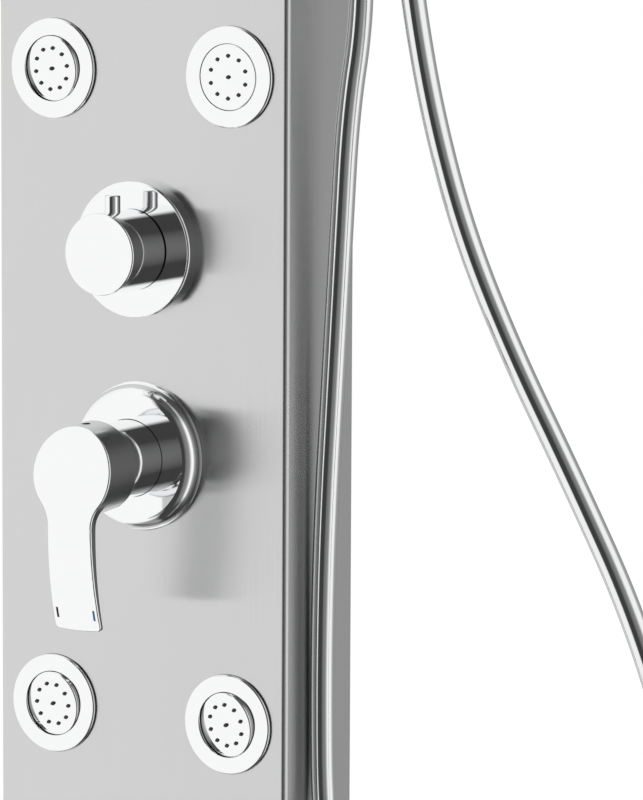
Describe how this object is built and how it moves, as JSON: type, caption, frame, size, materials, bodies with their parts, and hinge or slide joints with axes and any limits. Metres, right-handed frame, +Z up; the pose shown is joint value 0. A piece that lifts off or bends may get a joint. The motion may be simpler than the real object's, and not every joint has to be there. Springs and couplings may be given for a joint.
{
  "type": "shower panel column",
  "caption": "Wall-hung brushed steel shower column with swivelling body jets, lever mixer, diverter knob, overhead head on an arm and a hand shower on a hose.",
  "frame": {"origin": "centre of the four wall-screw slots, on the wall plane, halfway up the panel", "axes": "+Z up, -Y out of the wall towards the user, +X to the right seen from the front"},
  "size_m": [0.4518, 0.501, 1.3],
  "materials": {
    "brushed_steel": "vertically brushed stainless steel",
    "galvanised": "plain folded sheet",
    "chrome": "polished",
    "brass": "as cast and turned",
    "copper": "drawn tube",
    "screw_steel": "bright",
    "nozzle_rubber": "matt",
    "acetal": "moulded",
    "inner_hose": "matt",
    "braid": "braided sleeve",
    "hose_metal": "smooth satin metal-look sleeve",
    "marks": "red bar for hot, blue bar for cold"
  },
  "bodies": {
    "root": {"arm_elbow": "brass", "arm_flange": "chrome", "backing_nuts": "brass", "ball_collar": "chrome", "cartridge_nut": "brass", "diverter_body": "brass", "diverter_cartridge": "brass", "diverter_plate": "chrome", "end_caps": "brushed_steel", "feed_hoses": "inner_hose", "front_panel": "brushed_steel", "handset_holder": "chrome", "head_arm": "chrome", "hose_nut": "chrome", "hose_tees": "acetal", "jet_flange_lower_left": "chrome", "jet_flange_lower_right": "chrome", "jet_flange_upper_left": "chrome", "jet_flange_upper_right": "chrome", "jet_gaskets": "nozzle_rubber", "jet_hoses": "inner_hose", "jet_housings": "acetal", "mixer_body": "brass", "mixer_cartridge": "acetal", "mixer_pipe": "copper", "mixer_plate": "chrome", "mixer_sleeve": "chrome", "outlet_elbow": "chrome", "panel_screws": "screw_steel", "shower_hose": "hose_metal", "supply_hoses": "braid", "supply_nuts": "brass", "wall_brackets": "galvanised"},
    "jet_seat_upper_left_body": {"jet_seat_upper_left": "acetal"},
    "jet_upper_left": {"jet_disc_upper_left": "chrome", "jet_nozzles_upper_left": "nozzle_rubber"},
    "jet_seat_upper_right_body": {"jet_seat_upper_right": "acetal"},
    "jet_upper_right": {"jet_disc_upper_right": "chrome", "jet_nozzles_upper_right": "nozzle_rubber"},
    "jet_seat_lower_left_body": {"jet_seat_lower_left": "acetal"},
    "jet_lower_left": {"jet_disc_lower_left": "chrome", "jet_nozzles_lower_left": "nozzle_rubber"},
    "jet_seat_lower_right_body": {"jet_seat_lower_right": "acetal"},
    "jet_lower_right": {"jet_disc_lower_right": "chrome", "jet_nozzles_lower_right": "nozzle_rubber"},
    "knob": {"diverter_knob": "chrome", "diverter_pin": "chrome", "diverter_stem": "brass"},
    "turret": {"cartridge_turret": "acetal"},
    "lever": {"mixer_lever": "chrome", "lever_marks": "marks", "lever_screw": "screw_steel", "cartridge_spindle": "brass"},
    "head_seat": {"ball_seat": "acetal"},
    "head": {"head_ball": "brass", "rain_head": "chrome", "rain_face": "nozzle_rubber"},
    "handset": {"handset_body": "chrome", "handset_face": "nozzle_rubber", "hose_cone": "chrome"}
  },
  "joints": [
    {"name": "jet_upper_left_turn", "type": "hinge", "parent": "root", "child": "jet_seat_upper_left_body", "pos_m": [-0.0609, -0.06928, -0.0388], "axis": [0, 0, 1], "range_deg": [-8, 22]},
    {"name": "jet_upper_left_nod", "type": "hinge", "parent": "jet_seat_upper_left_body", "child": "jet_upper_left", "pos_m": [-0.0609, -0.06928, -0.0388], "axis": [0.9925, -0.1219, 0], "range_deg": [-19, 11]},
    {"name": "jet_upper_right_turn", "type": "hinge", "parent": "root", "child": "jet_seat_upper_right_body", "pos_m": [0.0609, -0.06928, -0.0388], "axis": [0, 0, 1], "range_deg": [-15, 15]},
    {"name": "jet_upper_right_nod", "type": "hinge", "parent": "jet_seat_upper_right_body", "child": "jet_upper_right", "pos_m": [0.0609, -0.06928, -0.0388], "axis": [1, 0, 0], "range_deg": [-15, 15]},
    {"name": "jet_lower_left_turn", "type": "hinge", "parent": "root", "child": "jet_seat_lower_left_body", "pos_m": [-0.0609, -0.06928, -0.4141], "axis": [0, 0, 1], "range_deg": [-8.5, 21.5]},
    {"name": "jet_lower_left_nod", "type": "hinge", "parent": "jet_seat_lower_left_body", "child": "jet_lower_left", "pos_m": [-0.0609, -0.06928, -0.4141], "axis": [0.9936, -0.1132, 0], "range_deg": [-19.5, 10.5]},
    {"name": "jet_lower_right_turn", "type": "hinge", "parent": "root", "child": "jet_seat_lower_right_body", "pos_m": [0.0609, -0.06928, -0.4141], "axis": [0, 0, 1], "range_deg": [-7, 23]},
    {"name": "jet_lower_right_nod", "type": "hinge", "parent": "jet_seat_lower_right_body", "child": "jet_lower_right", "pos_m": [0.0609, -0.06928, -0.4141], "axis": [0.9903, -0.1392, 0], "range_deg": [-20.5, 9.5]},
    {"name": "diverter_turn", "type": "hinge", "parent": "root", "child": "knob", "pos_m": [0, -0.101, -0.1405], "axis": [0, -1, 0], "range_deg": [-90, 90]},
    {"name": "lever_turn", "type": "hinge", "parent": "root", "child": "turret", "pos_m": [0, -0.104, -0.2617], "axis": [0, -1, 0], "range_deg": [-45, 45]},
    {"name": "lever_lift", "type": "hinge", "parent": "turret", "child": "lever", "pos_m": [0, -0.104, -0.2617], "axis": [-1, 0, 0], "range_deg": [0, 22]},
    {"name": "head_tilt", "type": "hinge", "parent": "root", "child": "head_seat", "pos_m": [0, -0.401, 0.494], "axis": [1, 0, 0], "range_deg": [-12, 12]},
    {"name": "head_roll", "type": "hinge", "parent": "head_seat", "child": "head", "pos_m": [0, -0.401, 0.494], "axis": [0, 1, 0], "range_deg": [-12, 12]},
    {"name": "handset_lift", "type": "slide", "parent": "root", "child": "handset", "axis": [0, -0.2404, 0.9707], "range_m": [0, 0.06]}
  ]
}
